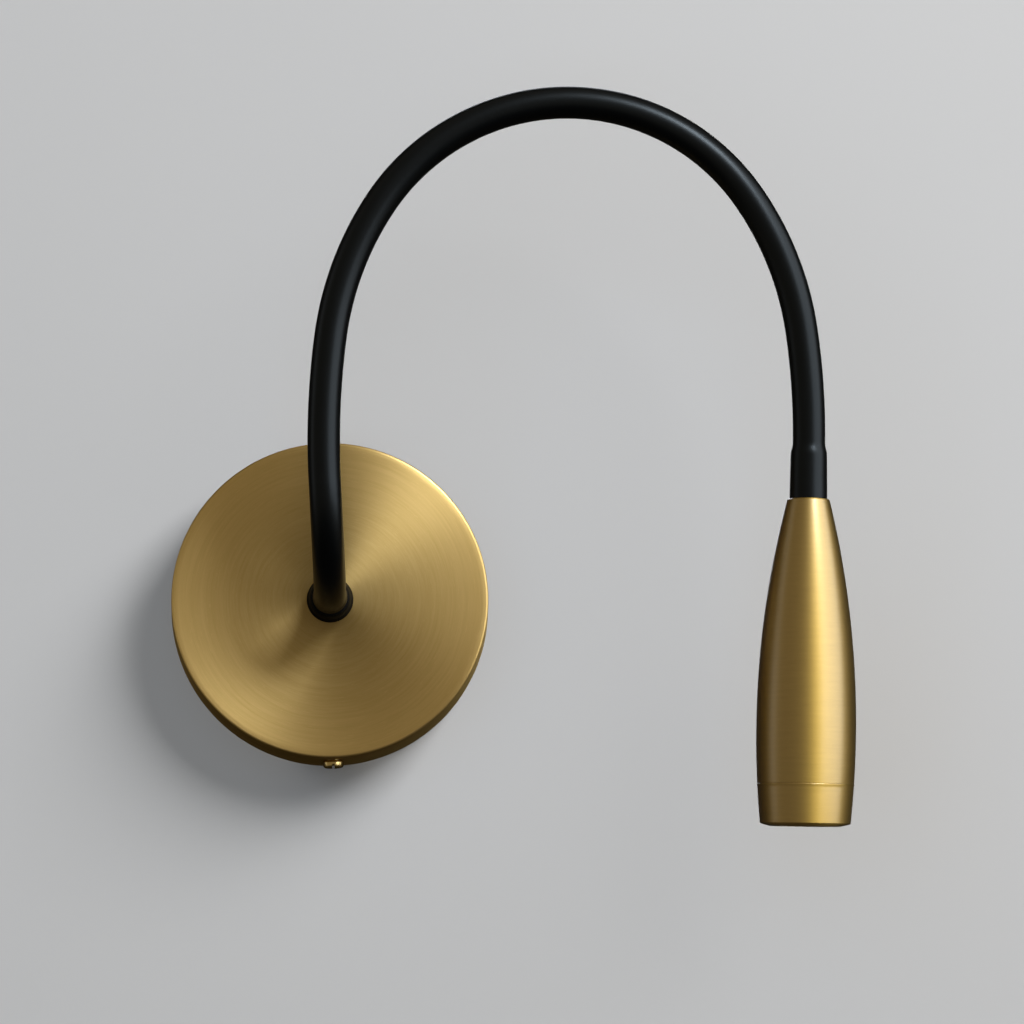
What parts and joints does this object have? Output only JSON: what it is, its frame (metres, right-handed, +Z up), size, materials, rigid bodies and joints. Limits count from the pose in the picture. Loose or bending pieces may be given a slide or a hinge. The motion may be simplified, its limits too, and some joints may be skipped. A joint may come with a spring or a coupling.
{
  "type": "flexible wall lamp",
  "caption": "Wall lamp with a round brushed canopy, a black sleeved gooseneck that bends and stays put, and a slim turned spot head with a lens.",
  "frame": {"origin": "middle of the canopy on the wall plane", "axes": "+Z up, +Y into the wall, +X to the right of someone who faces the wall"},
  "size_m": [0.2532, 0.0962, 0.2729],
  "materials": {
    "canopy_brass": "circular brushed",
    "head_brass": "turned satin, brass plated",
    "screw_brass": "polished",
    "sleeve_silicone": "smooth matte silicone",
    "collar_black": "moulded matte",
    "bracket_steel": "zinc plated",
    "fitting_steel": "nickel plated",
    "core_steel": "wound wire",
    "small_screw_steel": "zinc plated",
    "cable_black": "smooth",
    "lead_insulation": "smooth",
    "driver_plastic": "moulded",
    "foam_pad": "foam tape",
    "terminal_plastic": "moulded",
    "carrier_aluminium": "turned",
    "thermal_pad": "soft",
    "board_white": "solder mask",
    "emitter_yellow": "phosphor dome",
    "holder_black": "moulded",
    "lens_clear": "clear polished",
    "seal_rubber": "smooth"
  },
  "bodies": {
    "canopy": {"canopy_cover": "canopy_brass", "canopy_screws": "screw_brass", "wall_bracket": "bracket_steel", "base_collar": "collar_black", "base_ferrule": "fitting_steel", "base_washer": "fitting_steel", "base_nut": "fitting_steel", "driver_case": "driver_plastic", "driver_pad": "foam_pad", "driver_mains_leads": "lead_insulation", "driver_output_leads": "lead_insulation", "terminal_block": "terminal_plastic", "terminal_screws": "small_screw_steel", "terminal_mount_screw": "small_screw_steel", "earth_screw": "screw_brass", "neck_sleeve_1": "sleeve_silicone", "neck_core_1": "core_steel", "neck_cable_1": "cable_black"},
    "head": {"head_ferrule": "fitting_steel", "head_shell": "head_brass", "front_ring": "head_brass", "led_carrier": "carrier_aluminium", "thermal_pad": "thermal_pad", "led_board": "board_white", "led_emitter": "emitter_yellow", "board_screws": "small_screw_steel", "led_leads": "lead_insulation", "lens_holder": "holder_black", "lens": "lens_clear", "lens_seal": "seal_rubber", "neck_sleeve_9": "sleeve_silicone", "neck_core_9": "core_steel", "neck_cable_9": "cable_black"},
    "neck_2": {"neck_sleeve_2": "sleeve_silicone", "neck_core_2": "core_steel", "neck_cable_2": "cable_black"},
    "neck_3": {"neck_sleeve_3": "sleeve_silicone", "neck_core_3": "core_steel", "neck_cable_3": "cable_black"},
    "neck_4": {"neck_sleeve_4": "sleeve_silicone", "neck_core_4": "core_steel", "neck_cable_4": "cable_black"},
    "neck_5": {"neck_sleeve_5": "sleeve_silicone", "neck_core_5": "core_steel", "neck_cable_5": "cable_black"},
    "neck_6": {"neck_sleeve_6": "sleeve_silicone", "neck_core_6": "core_steel", "neck_cable_6": "cable_black"},
    "neck_7": {"neck_sleeve_7": "sleeve_silicone", "neck_core_7": "core_steel", "neck_cable_7": "cable_black"},
    "neck_8": {"neck_sleeve_8": "sleeve_silicone", "neck_core_8": "core_steel", "neck_cable_8": "cable_black"}
  },
  "joints": [
    {"name": "neck_bend_1", "type": "hinge", "parent": "canopy", "child": "neck_2", "pos_m": [-0.00045, -0.06579, 0.00783], "axis": [0.9983, 0, 0.0576], "range_deg": [-15, 20]},
    {"name": "neck_bend_2", "type": "hinge", "parent": "neck_2", "child": "neck_3", "pos_m": [-0.00216, -0.08192, 0.0375], "axis": [0.0035, -0.9981, -0.0609], "range_deg": [-35, 35]},
    {"name": "neck_bend_3", "type": "hinge", "parent": "neck_3", "child": "neck_4", "pos_m": [-0.00034, -0.08517, 0.09079], "axis": [-0.9921, -0.0111, 0.125], "range_deg": [-12, 30]},
    {"name": "neck_bend_4", "type": "hinge", "parent": "neck_4", "child": "neck_5", "pos_m": [0.01798, -0.08814, 0.14048], "axis": [-0.0035, 0.9981, 0.0609], "range_deg": [-30, 30]},
    {"name": "neck_bend_5", "type": "hinge", "parent": "neck_5", "child": "neck_6", "pos_m": [0.05912, -0.09, 0.1732], "axis": [0.3468, 0.0584, -0.9361], "range_deg": [-30, 35]},
    {"name": "neck_bend_6", "type": "hinge", "parent": "neck_6", "child": "neck_7", "pos_m": [0.11165, -0.0899, 0.17463], "axis": [0.0035, -0.9981, -0.0609], "range_deg": [-30, 30]},
    {"name": "neck_bend_7", "type": "hinge", "parent": "neck_7", "child": "neck_8", "pos_m": [0.15404, -0.08786, 0.14367], "axis": [0.8212, -0.0319, 0.5697], "range_deg": [-40, 12]},
    {"name": "neck_bend_8", "type": "hinge", "parent": "neck_8", "child": "head", "pos_m": [0.17351, -0.08478, 0.09445], "axis": [-0.0035, 0.9981, 0.0609], "range_deg": [-30, 30]}
  ]
}
